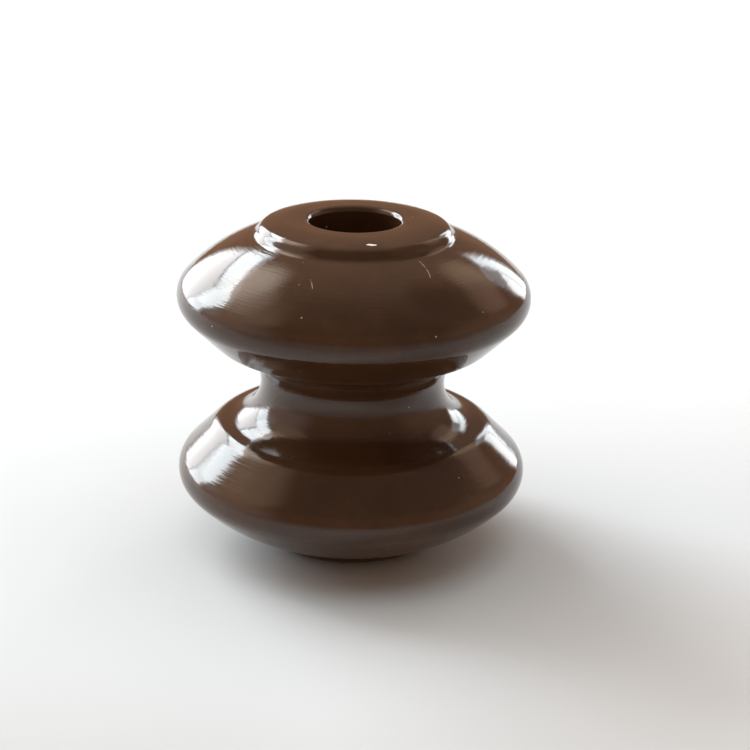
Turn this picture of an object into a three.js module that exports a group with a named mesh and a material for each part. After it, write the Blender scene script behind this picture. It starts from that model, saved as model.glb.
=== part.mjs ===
// A brown glazed porcelain shackle insulator: a spool with two flanges, a wire groove round its
// waist, a raised land at each end and one plain bore for the through bolt.
// Millimetres, +Z along the bore, origin at the centre of the foot it stands on.

import * as THREE from 'three';

// Driving dimensions
const HEIGHT = 75;
const FLANGE_RADIUS = 39.5;
const WAIST_RADIUS = 20.8;
const BORE_RADIUS = 10;
const LAND_FLAT_RADIUS = 14;

const GROOVE_ROUND = 9.3;
const INNER_FACE_SLOPE = 8;
const SHOULDER_ROUND = 5.5;
const SHOULDER_ANGLE = 46.3;
const RIM_ROUND = 5.6;
const RIM_LOWER_ANGLE = 45;
const RIM_UPPER_ANGLE = 43.5;
const OUTER_FACE_ROUND = 37;
const CROWN_REACH = 5;
const CROWN_DROP = 0.75;
const LAND_EDGE_ROUND = 2.7;
const LAND_FOOT_ROUND = 2.5;
const LIP_ROUND = 0.9;

const GLAZE = 0.4;
const GLAZE_START = 0.2;
const BORE_GLAZE_START = 1.2;
const FOOT_CHAMFER = 0.5;

const SEGMENTS = 36;
const STEP_ANGLE = 15;

const MIDDLE = HEIGHT / 2;

const GLAZE_MATERIAL = new THREE.MeshStandardMaterial({
  name: 'brown_glaze',
  color: 0x4a3226,
  roughness: 0.12,
  metalness: 0,
});
const PORCELAIN_MATERIAL = new THREE.MeshStandardMaterial({
  name: 'bare_porcelain',
  color: 0xd8cdbb,
  roughness: 0.75,
  metalness: 0,
});

const radians = (degrees) => THREE.MathUtils.degToRad(degrees);
const degrees = (angle) => THREE.MathUtils.radToDeg(angle);

// A direction in the section plane: x is the radius and y is the height.
function direction(angle) {
  return new THREE.Vector2(Math.cos(radians(angle)), Math.sin(radians(angle)));
}

function moved(point, heading, distance) {
  return point.clone().addScaledVector(heading, distance);
}

function angleFrom(centre, point) {
  return degrees(Math.atan2(point.y - centre.y, point.x - centre.x));
}

// An arc of the section. bulge is 1 where the china is inside the arc, and -1 in a hollow.
function arc(centre, radius, from, to, bulge = 1) {
  const count = Math.max(2, Math.ceil(Math.abs(to - from) / STEP_ANGLE));
  return Array.from({ length: count + 1 }, (_, index) => {
    const outward = direction(from + ((to - from) * index) / count);
    return { place: moved(centre, outward, radius), normal: outward.multiplyScalar(bulge) };
  });
}

// The meeting point, on the outer side, of two circles in the section plane.
function outerMeeting(first, firstRadius, second, secondRadius) {
  const span = first.distanceTo(second);
  const along = (firstRadius ** 2 - secondRadius ** 2 + span ** 2) / (2 * span);
  const aside = Math.sqrt(firstRadius ** 2 - along ** 2);
  const heading = second.clone().sub(first).divideScalar(span);
  const foot = moved(first, heading, along);
  const side = new THREE.Vector2(-heading.y, heading.x);
  const candidates = [moved(foot, side, aside), moved(foot, side, -aside)];
  return candidates[0].x > candidates[1].x ? candidates[0] : candidates[1];
}

// Half of the section, from the middle of the wire groove up to the bore, with heights from the
// middle of the spool. Neighbouring arcs share a tangent, so the glazed surface has no corner.
function halfSection() {
  // The wire groove, round at the waist
  const grooveCentre = new THREE.Vector2(WAIST_RADIUS + GROOVE_ROUND, 0);
  const groove = arc(grooveCentre, GROOVE_ROUND, 180, 90 + INNER_FACE_SLOPE, -1);

  // A nearly level ledge beside the groove turns through a shoulder
  const grooveEnd = groove[groove.length - 1];
  const shoulderCentre = moved(grooveEnd.place, grooveEnd.normal, -SHOULDER_ROUND);
  const shoulder = arc(shoulderCentre, SHOULDER_ROUND, INNER_FACE_SLOPE - 90, -SHOULDER_ANGLE);

  // The flange's inner face is nearly a cone. It swells by the radius that brings the rim to
  // FLANGE_RADIUS.
  const shoulderEnd = shoulder[shoulder.length - 1];
  const rimReach = FLANGE_RADIUS - RIM_ROUND + RIM_ROUND * direction(RIM_LOWER_ANGLE).x;
  const faceSpan = direction(RIM_LOWER_ANGLE).x - shoulderEnd.normal.x;
  const faceRound = (rimReach - shoulderEnd.place.x) / faceSpan;
  const faceCentre = moved(shoulderEnd.place, shoulderEnd.normal, -faceRound);
  const innerFace = arc(faceCentre, faceRound, -SHOULDER_ANGLE, -RIM_LOWER_ANGLE);

  // The rounded rim
  const rimCentre = moved(faceCentre, direction(-RIM_LOWER_ANGLE), faceRound - RIM_ROUND);
  const rim = arc(rimCentre, RIM_ROUND, -RIM_LOWER_ANGLE, RIM_UPPER_ANGLE);

  // The outer face, the hollow at the foot of the land, and the land's rounded edge
  const outerHeading = direction(RIM_UPPER_ANGLE);
  const outerCentre = moved(rimCentre, outerHeading, RIM_ROUND - OUTER_FACE_ROUND);
  const edgeCentre = new THREE.Vector2(
    LAND_FLAT_RADIUS + CROWN_REACH,
    MIDDLE - CROWN_DROP - LAND_EDGE_ROUND,
  );
  const hollowCentre = outerMeeting(
    edgeCentre,
    LAND_EDGE_ROUND + LAND_FOOT_ROUND,
    outerCentre,
    OUTER_FACE_ROUND + LAND_FOOT_ROUND,
  );
  const faceEnd = angleFrom(outerCentre, hollowCentre);
  const edgeEnd = angleFrom(edgeCentre, hollowCentre);
  const outerFace = arc(outerCentre, OUTER_FACE_ROUND, RIM_UPPER_ANGLE, faceEnd);
  const hollow = arc(hollowCentre, LAND_FOOT_ROUND, faceEnd - 180, edgeEnd - 180, -1);

  // The land is crowned: it falls away from its flat ring towards the rounded edge
  const crownSwell = (CROWN_REACH ** 2 + CROWN_DROP ** 2) / (2 * CROWN_DROP);
  const crownRound = LAND_EDGE_ROUND + crownSwell;
  const crownCentre = new THREE.Vector2(LAND_FLAT_RADIUS, MIDDLE - crownRound);
  const crownEnd = angleFrom(crownCentre, edgeCentre);
  const landEdge = arc(edgeCentre, LAND_EDGE_ROUND, edgeEnd, crownEnd);
  const crown = arc(crownCentre, crownRound, crownEnd, 90);

  // The flat ring runs from the crown to the lip of the bore
  const lipCentre = new THREE.Vector2(BORE_RADIUS + LIP_ROUND, MIDDLE - LIP_ROUND);
  const lip = arc(lipCentre, LIP_ROUND, 90, 180);

  return [
    groove,
    shoulder.slice(1),
    innerFace.slice(1),
    rim.slice(1),
    outerFace.slice(1),
    hollow.slice(1),
    landEdge.slice(1),
    crown.slice(1),
    lip,
  ].flat();
}

// The whole glazed outline, from the lower end of the bore round the outside to its upper end,
// with heights from the foot.
function wholeSection() {
  const upper = halfSection();
  const lower = upper
    .slice(1)
    .reverse()
    .map(({ place, normal }) => ({
      place: new THREE.Vector2(place.x, -place.y),
      normal: new THREE.Vector2(normal.x, -normal.y),
    }));
  return [...lower, ...upper].map(({ place, normal }) => ({
    place: new THREE.Vector2(place.x, place.y + MIDDLE),
    normal,
  }));
}

// The glaze starts just above the bare foot, outside the flat ring, and ends low in the bore.
function glazedSection() {
  const glazedPart = ({ place }) => {
    const outside = place.x > LAND_FLAT_RADIUS && place.y > GLAZE_START;
    return outside || place.y > MIDDLE;
  };
  const boreFoot = {
    place: new THREE.Vector2(BORE_RADIUS, BORE_GLAZE_START),
    normal: new THREE.Vector2(-1, 0),
  };
  return [...wholeSection().filter(glazedPart), boreFoot];
}

function turned(name, section, material) {
  const geometry = new THREE.LatheGeometry([...section, section[0]], SEGMENTS);
  geometry.rotateX(Math.PI / 2);
  const mesh = new THREE.Mesh(geometry, material);
  mesh.name = name;
  return mesh;
}

// The fired china: everything under the glaze, with the bare flat foot that it stood on in the
// kiln. The foot is a plain ring, chamfered at both edges.
function porcelainBody(glazed) {
  const china = glazed.map(({ place, normal }) => moved(place, normal, -GLAZE));
  const outer = china[0].x;
  const inner = china[china.length - 1].x;
  const foot = [
    new THREE.Vector2(inner, FOOT_CHAMFER),
    new THREE.Vector2(inner + FOOT_CHAMFER, 0),
    new THREE.Vector2(outer - FOOT_CHAMFER, 0),
    new THREE.Vector2(outer, FOOT_CHAMFER),
  ];
  return turned('porcelain_body', [...china, ...foot], PORCELAIN_MATERIAL);
}

// The glassy brown coat, one skin of even thickness over the china.
function glazeCoat(glazed) {
  const outside = glazed.map(({ place }) => place);
  const inside = glazed.map(({ place, normal }) => moved(place, normal, -GLAZE));
  return turned('glaze_coat', [...outside, ...inside.reverse()], GLAZE_MATERIAL);
}

const glazed = glazedSection();
const insulator = new THREE.Group();
insulator.name = 'shackle_insulator';
insulator.add(porcelainBody(glazed));
insulator.add(glazeCoat(glazed));

export default insulator;
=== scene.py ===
"""A brown glazed porcelain shackle insulator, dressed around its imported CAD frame."""

import math

import bmesh
import bpy
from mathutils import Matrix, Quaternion, Vector, noise


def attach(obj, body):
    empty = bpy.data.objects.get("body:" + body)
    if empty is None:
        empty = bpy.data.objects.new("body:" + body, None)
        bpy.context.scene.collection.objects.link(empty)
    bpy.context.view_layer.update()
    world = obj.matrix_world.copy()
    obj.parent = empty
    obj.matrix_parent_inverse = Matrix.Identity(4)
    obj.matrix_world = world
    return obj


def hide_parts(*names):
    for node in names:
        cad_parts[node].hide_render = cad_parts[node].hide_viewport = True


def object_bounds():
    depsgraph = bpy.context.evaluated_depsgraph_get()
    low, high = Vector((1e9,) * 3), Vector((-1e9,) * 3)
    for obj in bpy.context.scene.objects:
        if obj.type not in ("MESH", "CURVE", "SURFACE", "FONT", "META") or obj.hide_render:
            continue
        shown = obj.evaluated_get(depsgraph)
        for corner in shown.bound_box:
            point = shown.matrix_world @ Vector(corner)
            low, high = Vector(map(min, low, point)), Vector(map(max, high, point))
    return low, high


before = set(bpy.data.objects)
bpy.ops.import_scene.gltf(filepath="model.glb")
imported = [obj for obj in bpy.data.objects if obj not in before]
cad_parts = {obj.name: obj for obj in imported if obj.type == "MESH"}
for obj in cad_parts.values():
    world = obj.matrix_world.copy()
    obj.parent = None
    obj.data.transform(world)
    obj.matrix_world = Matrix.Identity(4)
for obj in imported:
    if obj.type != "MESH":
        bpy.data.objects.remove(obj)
CAD_LOW, CAD_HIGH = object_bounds()

# ---------------------------------------------------------------------------
# Dimensions, in millimetres and degrees. The height and the reach come from the CAD box.

MM = 0.001
BOX_CLEARANCE = 0.02
HEIGHT = (CAD_HIGH.z - CAD_LOW.z) / MM
FLANGE_RADIUS = min(CAD_HIGH.x, CAD_HIGH.y) / MM - BOX_CLEARANCE
WAIST_RADIUS = 20.8
BORE_RADIUS = 10.0
LAND_FLAT_RADIUS = 14.0

GROOVE_ROUND = 9.3
INNER_FACE_SLOPE = 8.0
SHOULDER_ROUND = 5.5
SHOULDER_ANGLE = 46.3
RIM_ROUND = 5.6
RIM_LOWER_ANGLE = 45.0
RIM_UPPER_ANGLE = 43.5
OUTER_FACE_ROUND = 37.0
CROWN_REACH = 5.0
CROWN_DROP = 0.75
LAND_EDGE_ROUND = 2.7
LAND_FOOT_ROUND = 2.5
LIP_ROUND = 1.3

GLAZE = 0.4
GLAZE_START = 0.2
BORE_GLAZE_START = 1.3
FOOT_ROUND = 0.4
MIDDLE = HEIGHT / 2

# The gap left between the two closed pieces
HIDDEN_GAP = 0.03

# How uneven the fired surfaces are, and the height over which the wandering of the glaze's lower
# edge fades out
SLOW_RIPPLE = 0.028
TURNED_RIPPLE = 0.012
CHINA_RIPPLE = 0.012
EDGE_WANDER = 0.08
EDGE_BLEND = 2.5

# Fineness: points round the axis, and the longest step and turn along the outline
SEGMENTS = 192
STEP = 0.75
STEP_ANGLE = 9.0

# ---------------------------------------------------------------------------
# The turned outline


def heading(angle):
    """A unit direction in the section plane: x is the radius and y is the height."""
    return Vector((math.cos(math.radians(angle)), math.sin(math.radians(angle))))


def angle_from(centre, point):
    return math.degrees(math.atan2(point.y - centre.y, point.x - centre.x))


def arc(centre, radius, start, end, bulge=1):
    """Points and outward normals along an arc. bulge is -1 where the arc is a hollow."""
    sweep = abs(end - start)
    count = math.ceil(max(math.radians(sweep) * radius / STEP, sweep / STEP_ANGLE, 2))
    turns = [start + (end - start) * i / count for i in range(count + 1)]
    return [(centre + heading(t) * radius, heading(t) * bulge) for t in turns]


def straight(first, last, normal):
    """Points along a straight stretch, without its two ends."""
    count = max(1, math.ceil((last - first).length / STEP))
    return [(first.lerp(last, i / count), normal) for i in range(1, count)]


def outer_meeting(first, first_radius, second, second_radius):
    """The meeting point, on the outer side, of two circles."""
    gap = second - first
    span = gap.length
    along = (first_radius**2 - second_radius**2 + span**2) / (2 * span)
    aside = math.sqrt(first_radius**2 - along**2)
    foot = first + gap * (along / span)
    side = Vector((-gap.y, gap.x)) * (aside / span)
    return max(foot + side, foot - side, key=lambda p: p.x)


def half_outline():
    """The outline from the middle of the groove to the bore, with heights from the middle."""
    groove_centre = Vector((WAIST_RADIUS + GROOVE_ROUND, 0))
    groove = arc(groove_centre, GROOVE_ROUND, 180, 90 + INNER_FACE_SLOPE, -1)

    groove_end, groove_normal = groove[-1]
    shoulder_centre = groove_end - groove_normal * SHOULDER_ROUND
    slope_start = INNER_FACE_SLOPE - 90
    shoulder = arc(shoulder_centre, SHOULDER_ROUND, slope_start, -SHOULDER_ANGLE)

    end_place, end_normal = shoulder[-1]
    rim_low = heading(-RIM_LOWER_ANGLE)
    rim_reach = FLANGE_RADIUS - RIM_ROUND + RIM_ROUND * rim_low.x
    face_round = (rim_reach - end_place.x) / (rim_low.x - end_normal.x)
    face_centre = end_place - end_normal * face_round
    inner_face = arc(face_centre, face_round, -SHOULDER_ANGLE, -RIM_LOWER_ANGLE)

    rim_centre = face_centre + rim_low * (face_round - RIM_ROUND)
    rim = arc(rim_centre, RIM_ROUND, -RIM_LOWER_ANGLE, RIM_UPPER_ANGLE)

    outer_centre = rim_centre + heading(RIM_UPPER_ANGLE) * (RIM_ROUND - OUTER_FACE_ROUND)
    edge_height = MIDDLE - CROWN_DROP - LAND_EDGE_ROUND
    edge_centre = Vector((LAND_FLAT_RADIUS + CROWN_REACH, edge_height))
    hollow_centre = outer_meeting(
        edge_centre,
        LAND_EDGE_ROUND + LAND_FOOT_ROUND,
        outer_centre,
        OUTER_FACE_ROUND + LAND_FOOT_ROUND,
    )
    face_end = angle_from(outer_centre, hollow_centre)
    edge_end = angle_from(edge_centre, hollow_centre)
    outer_face = arc(outer_centre, OUTER_FACE_ROUND, RIM_UPPER_ANGLE, face_end)
    hollow = arc(hollow_centre, LAND_FOOT_ROUND, face_end - 180, edge_end - 180, -1)

    crown_round = LAND_EDGE_ROUND + (CROWN_REACH**2 + CROWN_DROP**2) / (2 * CROWN_DROP)
    crown_centre = Vector((LAND_FLAT_RADIUS, MIDDLE - crown_round))
    crown_end = angle_from(crown_centre, edge_centre)
    land_edge = arc(edge_centre, LAND_EDGE_ROUND, edge_end, crown_end)
    crown = arc(crown_centre, crown_round, crown_end, 90)

    lip_centre = Vector((BORE_RADIUS + LIP_ROUND, MIDDLE - LIP_ROUND))
    lip = arc(lip_centre, LIP_ROUND, 90, 180)
    land = straight(crown[-1][0], lip[0][0], Vector((0, 1)))
    arcs = (groove, shoulder, inner_face, rim, outer_face, hollow, land_edge, crown)
    parts = [groove[:1]] + [points[1:] for points in arcs]
    return [point for part in parts for point in part] + land + lip


def glazed_outline():
    """The glazed outline as (place, normal), from the foot round the outside and down the bore."""
    upper = half_outline()
    lower = [(Vector((p.x, -p.y)), Vector((n.x, -n.y))) for p, n in reversed(upper[1:])]
    raised = [(p + Vector((0, MIDDLE)), n) for p, n in lower + upper]
    bore_foot = (Vector((BORE_RADIUS, BORE_GLAZE_START)), Vector((-1, 0)))
    bore = straight(raised[-1][0], bore_foot[0], bore_foot[1])
    outside = (i for i, (p, _) in enumerate(raised) if p.y > GLAZE_START and p.x > LAND_FLAT_RADIUS)
    return raised[min(outside) :] + bore + [bore_foot]


# ---------------------------------------------------------------------------
# Meshes


def ripple(place):
    """How far the fired surface lies under its ideal outline: the slow waviness of turned clay."""
    slow = noise.noise(place * 0.045 + Vector((3.1, 7.7, 1.9)))
    turned = noise.noise(Vector((place.x * 0.012, place.y * 0.012, place.z * 0.22)))
    return SLOW_RIPPLE * (1 + slow) + TURNED_RIPPLE * (1 + turned)


def around(outline, placed):
    """One ring of points for each point of the outline. placed gives each point its final place."""
    rings = []
    for place, normal in outline:
        ring = []
        for s in range(SEGMENTS):
            turn = math.tau * s / SEGMENTS
            side = Vector((math.cos(turn), math.sin(turn), 0))
            point = side * place.x + Vector((0, 0, place.y))
            way = side * normal.x + Vector((0, 0, normal.y))
            ring.append(placed(point, way, turn))
        rings.append(ring)
    return rings


def closed_piece(name, rings):
    """A closed solid of revolution through its rings, the last ring joined to the first."""
    mesh = bmesh.new()
    verts = [[mesh.verts.new(point * MM) for point in ring] for ring in rings]
    for i, ring in enumerate(verts):
        ahead = verts[(i + 1) % len(verts)]
        for s in range(SEGMENTS):
            t = (s + 1) % SEGMENTS
            mesh.faces.new((ring[s], ring[t], ahead[t], ahead[s]))
    bmesh.ops.recalc_face_normals(mesh, faces=mesh.faces)
    for face in mesh.faces:
        face.smooth = True
    data = bpy.data.meshes.new(name)
    mesh.to_mesh(data)
    mesh.free()
    piece = bpy.data.objects.new(name, data)
    bpy.context.scene.collection.objects.link(piece)
    return piece


OUTLINE = glazed_outline()


def edge_wave(turn):
    """How much the glaze's lower edge wanders up, round the foot."""
    walk = Vector((math.cos(turn), math.sin(turn), 0.4)) * 1.7
    return EDGE_WANDER * (1 + 0.7 * noise.noise(walk) + 0.3 * noise.noise(walk * 4.3))


def bead(place, normal, ahead):
    """The rounded edge of the glaze, from its outer face at place round to its inner face."""
    radius = (GLAZE - HIDDEN_GAP) / 2
    centre = place - normal * radius
    turns = [math.pi * i / 6 for i in range(1, 6)]
    ways = [normal * math.cos(t) + ahead * math.sin(t) for t in turns]
    return [(centre + way * radius, way) for way in ways]


def lifted(point, turn):
    """A point of the glaze, raised where it is close to the wandering lower edge."""
    low = max(0.0, 1 - (point.z - GLAZE_START) / EDGE_BLEND)
    return point + Vector((0, 0, edge_wave(turn) * low))


def glaze_rings():
    """The glaze: its rippled outer face, a rounded edge at each end, and its hidden inner face."""

    def outer(point, way, turn):
        return lifted(point - way * ripple(point), turn)

    def plain(point, way, turn):
        return lifted(point, turn)

    inner = [(p - n * (GLAZE - HIDDEN_GAP), n) for p, n in OUTLINE[::-1]]
    first, last = OUTLINE[0], OUTLINE[-1]
    backward = (first[0] - OUTLINE[1][0]).normalized()
    bore_bead = bead(last[0], last[1], Vector((0, -1)))
    foot_bead = bead(first[0], first[1], backward)[::-1]
    outside = around(OUTLINE, outer)
    return outside + around(bore_bead, plain) + around(inner, plain) + around(foot_bead, plain)


def china_rings():
    """The china: the face under the glaze, then the bare foot with its softened edges."""
    under = [(p - n * GLAZE, n) for p, n in OUTLINE]
    outer_radius = under[0][0].x
    inner_radius = under[-1][0].x
    inner_edge = arc(Vector((inner_radius + FOOT_ROUND, FOOT_ROUND)), FOOT_ROUND, 180, 270)
    outer_edge = arc(Vector((outer_radius - FOOT_ROUND, FOOT_ROUND)), FOOT_ROUND, 270, 360)
    flat = straight(inner_edge[-1][0], outer_edge[0][0], Vector((0, -1)))

    def worn(point, way, turn):
        return point - way * CHINA_RIPPLE * (1 + noise.noise(point * 0.9))

    return around(under + inner_edge + flat + outer_edge, worn)


glaze = closed_piece("glaze_coat_turned", glaze_rings())
china = closed_piece("porcelain_body_turned", china_rings())

# ---------------------------------------------------------------------------
# Materials

# How much the turning marks follow the radius as well as the height, so that level faces show
# them too
MARK_LEAN = 0.45


class Nodes:
    """Short calls for building a node tree."""

    def __init__(self, tree):
        self.tree = tree

    def add(self, kind, **settings):
        node = self.tree.nodes.new(kind)
        for key, value in settings.items():
            setattr(node, key, value)
        return node

    def join(self, value, socket):
        if isinstance(value, bpy.types.NodeSocket):
            self.tree.links.new(value, socket)
        else:
            socket.default_value = value

    def math(self, operation, first, second=0.0):
        node = self.add("ShaderNodeMath", operation=operation)
        self.join(first, node.inputs[0])
        self.join(second, node.inputs[1])
        return node.outputs[0]

    def vector(self, operation, first, second=(0, 0, 0)):
        node = self.add("ShaderNodeVectorMath", operation=operation)
        self.join(first, node.inputs[0])
        self.join(second, node.inputs[1])
        return node

    def parts(self, vector):
        node = self.add("ShaderNodeSeparateXYZ")
        self.join(vector, node.inputs["Vector"])
        return node.outputs

    def ranged(self, value, low, high, new_low=0.0, new_high=1.0):
        node = self.add("ShaderNodeMapRange", interpolation_type="SMOOTHSTEP")
        for key, item in zip(
            ("Value", "From Min", "From Max", "To Min", "To Max"),
            (value, low, high, new_low, new_high),
        ):
            self.join(item, node.inputs[key])
        return node.outputs["Result"]

    def mix(self, factor, first, second):
        node = self.add("ShaderNodeMix", data_type="RGBA")
        self.join(factor, node.inputs["Factor"])
        self.join(first, node.inputs[6])
        self.join(second, node.inputs[7])
        return node.outputs[2]


class MaterialNodes(Nodes):
    """Short calls for building a material, placed by object coordinates in metres."""

    def __init__(self, name):
        self.material = bpy.data.materials.new(name)
        self.material.use_nodes = True
        super().__init__(self.material.node_tree)
        self.shader = self.tree.nodes["Principled BSDF"]
        self.place = self.add("ShaderNodeTexCoord").outputs["Object"]

    def noise(self, scale, detail, roughness=0.5, place=None):
        node = self.add("ShaderNodeTexNoise")
        self.join(place or self.place, node.inputs["Vector"])
        node.inputs["Scale"].default_value = scale
        node.inputs["Detail"].default_value = detail
        node.inputs["Roughness"].default_value = roughness
        return node.outputs["Fac"]

    def turned(self, along, across):
        """Coordinates that change fast across the turning marks and slowly along them."""
        x, y, z = self.parts(self.place)
        flat = self.vector("MULTIPLY", self.place, (1, 1, 0)).outputs["Vector"]
        radius = self.vector("LENGTH", flat).outputs["Value"]
        row = self.math("SUBTRACT", z, self.math("MULTIPLY", radius, MARK_LEAN))
        node = self.add("ShaderNodeCombineXYZ")
        self.join(self.math("MULTIPLY", x, along), node.inputs["X"])
        self.join(self.math("MULTIPLY", y, along), node.inputs["Y"])
        self.join(self.math("MULTIPLY", row, across), node.inputs["Z"])
        return node.outputs["Vector"]

    def bump(self, height, distance, strength, under=None):
        node = self.add("ShaderNodeBump")
        node.inputs["Distance"].default_value = distance
        node.inputs["Strength"].default_value = strength
        self.join(height, node.inputs["Height"])
        if under is not None:
            self.join(under, node.inputs["Normal"])
        return node.outputs["Normal"]

    def finish(self, **sockets):
        for key, value in sockets.items():
            self.join(value, self.shader.inputs[key.replace("_", " ")])
        return self.material


def chip(n, centre, reach):
    """A small bare spot in the glaze, with a ragged edge. centre and reach are in millimetres."""
    gap = n.vector("SUBTRACT", n.place, Vector(centre) * MM).outputs["Vector"]
    size = n.vector("DIVIDE", gap, Vector(reach) * MM).outputs["Vector"]
    span = n.vector("LENGTH", size).outputs["Value"]
    ragged = n.math("ADD", span, n.noise(1500, 2))
    return n.ranged(ragged, 1.42, 1.30)


def hair(n, start, end, bow):
    """A fine pale fibre in the glaze of the upper face, bowed between two points in plan.

    The points are in millimetres from the axis. bow is the curve's strength.
    """
    along = Vector(end) - Vector(start)
    length = along.length
    along.normalize()
    across, back, height = n.parts(n.place)
    x = n.math("SUBTRACT", n.math("MULTIPLY", across, 1 / MM), start[0])
    y = n.math("SUBTRACT", n.math("MULTIPLY", back, 1 / MM), start[1])
    run = n.math("ADD", n.math("MULTIPLY", x, along.x), n.math("MULTIPLY", y, along.y))
    side = n.math("ADD", n.math("MULTIPLY", x, -along.y), n.math("MULTIPLY", y, along.x))
    curve = n.math("MULTIPLY", n.math("MULTIPLY", run, n.math("SUBTRACT", length, run)), bow)
    off = n.math("ABSOLUTE", n.math("SUBTRACT", side, curve))
    line = n.ranged(off, 0.13, 0.05)
    inside = n.math("MULTIPLY", n.ranged(run, -0.1, 0.2), n.ranged(run, length + 0.1, length - 0.2))
    above = n.ranged(height, 0.060, 0.061)
    patchy = n.ranged(n.noise(900, 2), 0.35, 0.55, 0.25, 1.0)
    return n.math("MULTIPLY", n.math("MULTIPLY", line, inside), n.math("MULTIPLY", above, patchy))


def dust(n):
    """Sparse pale specks: the surface shows one where it passes close to a chosen cell's centre."""
    cells = n.add("ShaderNodeTexVoronoi")
    n.join(n.place, cells.inputs["Vector"])
    cells.inputs["Scale"].default_value = 210
    speck = n.ranged(cells.outputs["Distance"], 0.050, 0.030)
    channel = n.add("ShaderNodeSeparateColor")
    n.join(cells.outputs["Color"], channel.inputs["Color"])
    chosen = n.ranged(channel.outputs["Red"], 0.60, 0.62)
    return n.math("MULTIPLY", speck, chosen)


def glaze_material():
    n = MaterialNodes("brown_glaze")
    deep = (0.043, 0.0190, 0.0084, 1)
    body = (0.060, 0.0275, 0.0125, 1)
    warm = (0.078, 0.0370, 0.0180, 1)
    iron = (0.02, 0.008, 0.004, 1)
    colour = n.mix(n.ranged(n.noise(55, 4, 0.55), 0.32, 0.70), deep, body)
    colour = n.mix(n.ranged(n.noise(150, 3), 0.50, 0.80, 0.0, 0.5), colour, warm)
    colour = n.mix(n.ranged(n.noise(2600, 1), 0.72, 0.76, 0.0, 0.7), colour, iron)
    roughness = n.ranged(n.noise(240, 4, 0.6), 0.35, 0.75, 0.055, 0.11)

    # Small marks: where, colour and roughness
    for mark, tint, dullness in (
        (dust(n), (0.42, 0.37, 0.31, 1), 0.5),
        (chip(n, (3.75, -18.2, 74.4), (1.15, 0.45, 1.0)), (0.90, 0.87, 0.82, 1), 0.6),
        (hair(n, (13.8, -18.8), (16.3, -23.6), 0.064), (0.36, 0.31, 0.26, 1), 0.5),
        (hair(n, (-8.9, -26.7), (-8.3, -29.2), 0.06), (0.30, 0.25, 0.21, 1), 0.5),
    ):
        colour = n.mix(mark, colour, tint)
        roughness = n.ranged(mark, 0, 1, roughness, dullness)

    # Coarse and fine turning marks, then the glaze's own unevenness: height, depth and strength
    normal = None
    for height, depth, strength in (
        (n.noise(1, 2, 0.5, n.turned(14, 750)), 0.00003, 0.7),
        (n.noise(1, 2, 0.6, n.turned(120, 2700)), 0.00003, 0.9),
        (n.noise(220, 2, 0.4), 0.00003, 0.7),
        (n.noise(850, 2, 0.4), 0.00001, 0.6),
        (n.noise(3000, 2, 0.5), 0.000004, 0.6),
    ):
        normal = n.bump(height, depth, strength, normal)
    n.shader.inputs["IOR"].default_value = 1.5
    return n.finish(Base_Color=colour, Roughness=roughness, Normal=normal)


def china_material():
    n = MaterialNodes("bare_porcelain")
    pale = (0.70, 0.62, 0.50, 1)
    cream = (0.56, 0.47, 0.36, 1)
    colour = n.mix(n.ranged(n.noise(120, 4, 0.6), 0.35, 0.70), pale, cream)
    stain = n.ranged(n.noise(420, 3, 0.6), 0.56, 0.72, 0.0, 0.55)
    colour = n.mix(stain, colour, (0.30, 0.21, 0.14, 1))
    speck = n.ranged(n.noise(3200, 1), 0.70, 0.74, 0.0, 0.8)
    colour = n.mix(speck, colour, (0.10, 0.06, 0.04, 1))
    roughness = n.ranged(n.noise(600, 3), 0.3, 0.7, 0.66, 0.86)
    normal = n.bump(n.noise(2400, 4, 0.7), 0.00005, 0.8)
    return n.finish(Base_Color=colour, Roughness=roughness, Normal=normal)


for piece, material in ((glaze, glaze_material()), (china, china_material())):
    piece.data.materials.append(material)

for piece, node, slot in (
    (glaze, "glaze_coat", "brown_glaze"),
    (china, "porcelain_body", "bare_porcelain"),
):
    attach(piece, "root")
    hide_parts(node)

# ---------------------------------------------------------------------------
# Floor, light and camera


# The floor lies just under the foot. Both values are in metres.
FLOOR_RADIUS = 4.0
FLOOR_GAP = 0.0002


def floor_material():
    """A pale floor, with painted light making it palest behind the object and painted shade making
    it darker in front of it.
    """
    n = MaterialNodes("pale_floor")
    tone = n.ranged(n.noise(5, 2), 0.3, 0.7)
    colour = n.mix(tone, (0.645, 0.69, 0.72, 1), (0.665, 0.71, 0.74, 1))
    depth = n.parts(n.place)["Y"]
    # Painted light: the floor turns paler and bluer behind the object, standing in for brighter
    # light there for the glaze to mirror.
    colour = n.mix(n.ranged(depth, 0.0, 0.16), colour, (0.77, 0.825, 0.86, 1))
    # Painted shade: the floor turns grey in front of the object, standing in for the object's shade
    # there, which the glaze mirrors.
    colour = n.mix(n.ranged(depth, -0.06, -0.20), colour, (0.42, 0.41, 0.41, 1))
    return n.finish(Base_Color=colour, Roughness=n.ranged(n.noise(40, 2), 0.3, 0.7, 0.7, 0.8))


def make_floor():
    mesh = bmesh.new()
    bmesh.ops.create_circle(mesh, cap_ends=True, segments=96, radius=FLOOR_RADIUS)
    data = bpy.data.meshes.new("floor")
    mesh.to_mesh(data)
    mesh.free()
    floor = bpy.data.objects.new("floor", data)
    floor.location.z = CAD_LOW.z - FLOOR_GAP
    floor.data.materials.append(floor_material())
    bpy.context.scene.collection.objects.link(floor)
    return floor


make_floor()


def polar(azimuth, elevation):
    """A unit direction from the object. Azimuth 0 is behind it, 90 is to its right."""
    a, e = math.radians(azimuth), math.radians(elevation)
    flat = Vector((math.sin(a), math.cos(a), 0)) * math.cos(e)
    return flat + Vector((0, 0, math.sin(e)))


# How far off the windows are, and the frames close behind them, in metres
WINDOW_DISTANCE = 1.6
FRAME_DISTANCE = 1.65


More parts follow.
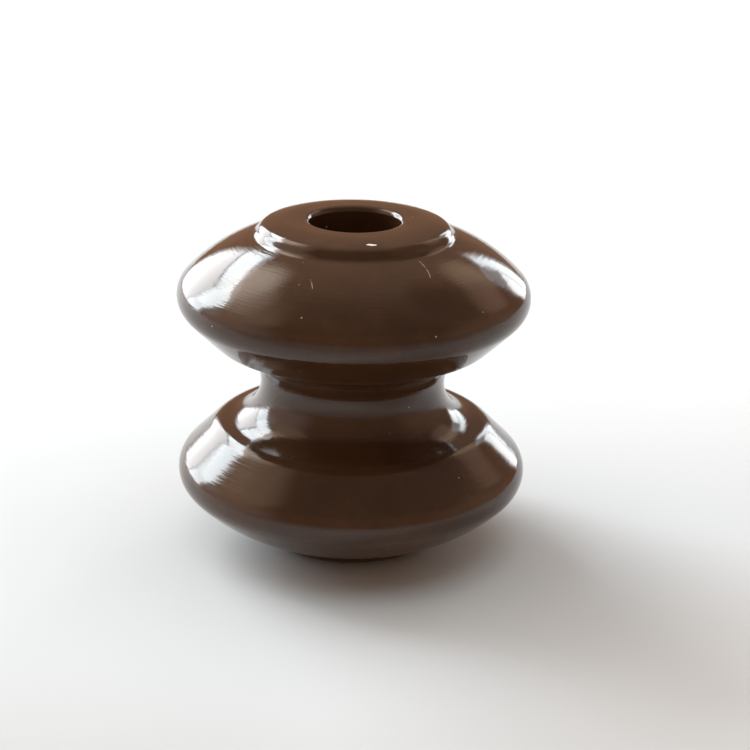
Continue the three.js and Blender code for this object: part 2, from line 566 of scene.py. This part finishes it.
def area_light(name, radiance, area, colour):
    """An area light's object, with the power that gives its surface the radiance."""
    data = bpy.data.lights.new(name, "AREA")
    data.energy = radiance * math.pi * area
    data.color = colour
    lamp = bpy.data.objects.new(name, data)
    bpy.context.scene.collection.objects.link(lamp)
    return lamp


def pane(name, azimuths, elevations, radiance, colour, wall, away=WINDOW_DISTANCE):
    """A lit window pane, upright in a wall that faces the object from the azimuth wall."""
    out = polar(wall, 0)
    side = polar(wall + 90, 0)
    spans = [math.tan(math.radians(a - wall)) * away for a in azimuths]
    middle = (spans[0] + spans[1]) / 2
    reach = math.hypot(away, middle)
    heights = [math.tan(math.radians(e)) * reach for e in elevations]
    width, height = spans[1] - spans[0], heights[1] - heights[0]
    lamp = area_light(name, radiance, width * height, colour)
    lamp.data.shape = "RECTANGLE"
    lamp.data.size, lamp.data.size_y = width, height
    up = Vector((0, 0, (heights[0] + heights[1]) / 2 + MIDDLE * MM))
    lamp.location = out * away + side * middle + up
    lamp.rotation_mode = "QUATERNION"
    lamp.rotation_quaternion = out.to_track_quat("Z", "Y")


def overhead(height, size, radiance, colour):
    """A soft round light from above that the glaze doesn't mirror."""
    lamp = area_light("overhead", radiance, math.pi * size**2 / 4, colour)
    lamp.data.shape = "DISK"
    lamp.data.size = size
    lamp.location.z = height
    lamp.visible_glossy = False


CREAM = (0.90, 0.935, 0.93)
DAYLIGHT = (0.86, 0.96, 1.0)
HAZE = (0.80, 0.90, 1.0)
SKYLIGHT = (0.80, 0.94, 1.0)
LEFT_WALL = -45
RIGHT_WALL = 35

# Name, azimuths, elevations, radiance, colour and wall of each pane. The frames are dim panes
# behind the others.
pane("left_far_lower", (-48.5, -24), (3, 29), 5.2, CREAM, LEFT_WALL)
pane("left_far_upper", (-48.5, -24), (30.4, 41), 9, DAYLIGHT, LEFT_WALL)
pane("left_near_lower", (-66, -49.5), (3, 19.7), 7.8, DAYLIGHT, LEFT_WALL)
pane("left_near_upper", (-66, -49.5), (20.1, 40), 10.8, DAYLIGHT, LEFT_WALL)
pane("right_far", (24, 30), (1, 27), 4.4, DAYLIGHT, RIGHT_WALL)
pane("right_near", (30.8, 39), (1, 18), 5.2, CREAM, RIGHT_WALL)
pane("left_frame", (-69, -22), (0, 43.5), 1.7, HAZE, LEFT_WALL, FRAME_DISTANCE)
pane("right_frame", (22, 41), (0, 29), 1.2, HAZE, RIGHT_WALL, FRAME_DISTANCE)
overhead(1.2, 1.8, 0.95, SKYLIGHT)

# The room's colours
ROOM_LOW = (0.43, 0.245, 0.16, 1)
ROOM_HIGH = (0.66, 0.46, 0.35, 1)
ROOM_LEFT = (0.95, 0.74, 0.66, 1)
ROOM_RIGHT = (0.70, 0.45, 0.31, 1)
FRONT_LOW = (0.40, 0.245, 0.16, 1)
FRONT_HIGH = (0.18, 0.16, 0.13, 1)
BACKDROP = (0.86, 0.87, 0.88, 1)

# Where the room turns from one to the next, as parts of a unit direction
CEILING_RISE = (0.25, 0.95)
FRONT_DEPTH = (0.25, -0.28)
FRONT_RISE = (0.40, 0.95)
LEFT_SIDE = (-0.62, -0.95)
RIGHT_SIDE = (0.72, 0.97)

# Soft patches of wall and ceiling: azimuth, elevation, inner and outer reach in degrees, colour
PATCHES = (
    (68, 53, 6, 22, (0.24, 0.19, 0.16, 1)),
    (-88, 42, 4, 26, (1.15, 0.88, 0.66, 1)),
    (-71, 19, 3, 12, (1.25, 1.15, 1.20, 1)),
    (-64, 49, 3, 15, (2.3, 1.8, 1.45, 1)),
    (-48, 46, 3, 16, (4.2, 3.5, 3.0, 1)),
    (38, 37, 2, 13, (1.6, 1.15, 0.80, 1)),
    (54, 33, 1, 14, (1.05, 0.66, 0.50, 1)),
)


def room_world():
    """The dim room that the glaze mirrors, with a pale backdrop straight behind the object."""
    world = bpy.data.worlds.new("room")
    world.use_nodes = True
    n = Nodes(world.node_tree)
    way = n.add("ShaderNodeTexCoord").outputs["Generated"]
    side, depth, rise = n.parts(way)
    room = n.mix(n.ranged(rise, *CEILING_RISE), ROOM_LOW, ROOM_HIGH)
    front = n.mix(n.ranged(rise, *FRONT_RISE), FRONT_LOW, FRONT_HIGH)
    room = n.mix(n.ranged(depth, *FRONT_DEPTH), room, front)
    room = n.mix(n.ranged(side, *LEFT_SIDE), room, ROOM_LEFT)
    room = n.mix(n.ranged(side, *RIGHT_SIDE), room, ROOM_RIGHT)
    for azimuth, elevation, inner, outer, colour in PATCHES:
        near = n.vector("DOT_PRODUCT", way, polar(azimuth, elevation)).outputs["Value"]
        spans = [math.cos(math.radians(a)) for a in (outer, inner)]
        room = n.mix(n.ranged(near, *spans), room, colour)
    seen = n.add("ShaderNodeLightPath").outputs["Is Camera Ray"]
    n.join(n.mix(seen, room, BACKDROP), n.tree.nodes["Background"].inputs["Color"])
    return world


bpy.context.scene.world = room_world()
bpy.context.scene.view_settings.view_transform = "Standard"

# The camera: millimetres and degrees
CAMERA_DISTANCE = 459.0
CAMERA_ELEVATION = 20.07
CAMERA_ROLL = 1.15
LENS = 97.4
AIM_RIGHT = 5.05
AIM_UP = 0.96

camera_data = bpy.data.cameras.new("camera")
camera_data.lens = LENS
camera_data.sensor_width = 36
camera_data.clip_start = 0.01
camera = bpy.data.objects.new("camera", camera_data)
aim = Vector((AIM_RIGHT, 0, MIDDLE + AIM_UP)) * MM
back = polar(180, CAMERA_ELEVATION)
camera.location = aim + back * (CAMERA_DISTANCE * MM)
camera.rotation_mode = "QUATERNION"
camera.rotation_quaternion = back.to_track_quat("Z", "Y")
camera.rotation_quaternion @= Quaternion((0, 0, 1), math.radians(CAMERA_ROLL))
bpy.context.scene.collection.objects.link(camera)
bpy.context.scene.camera = camera
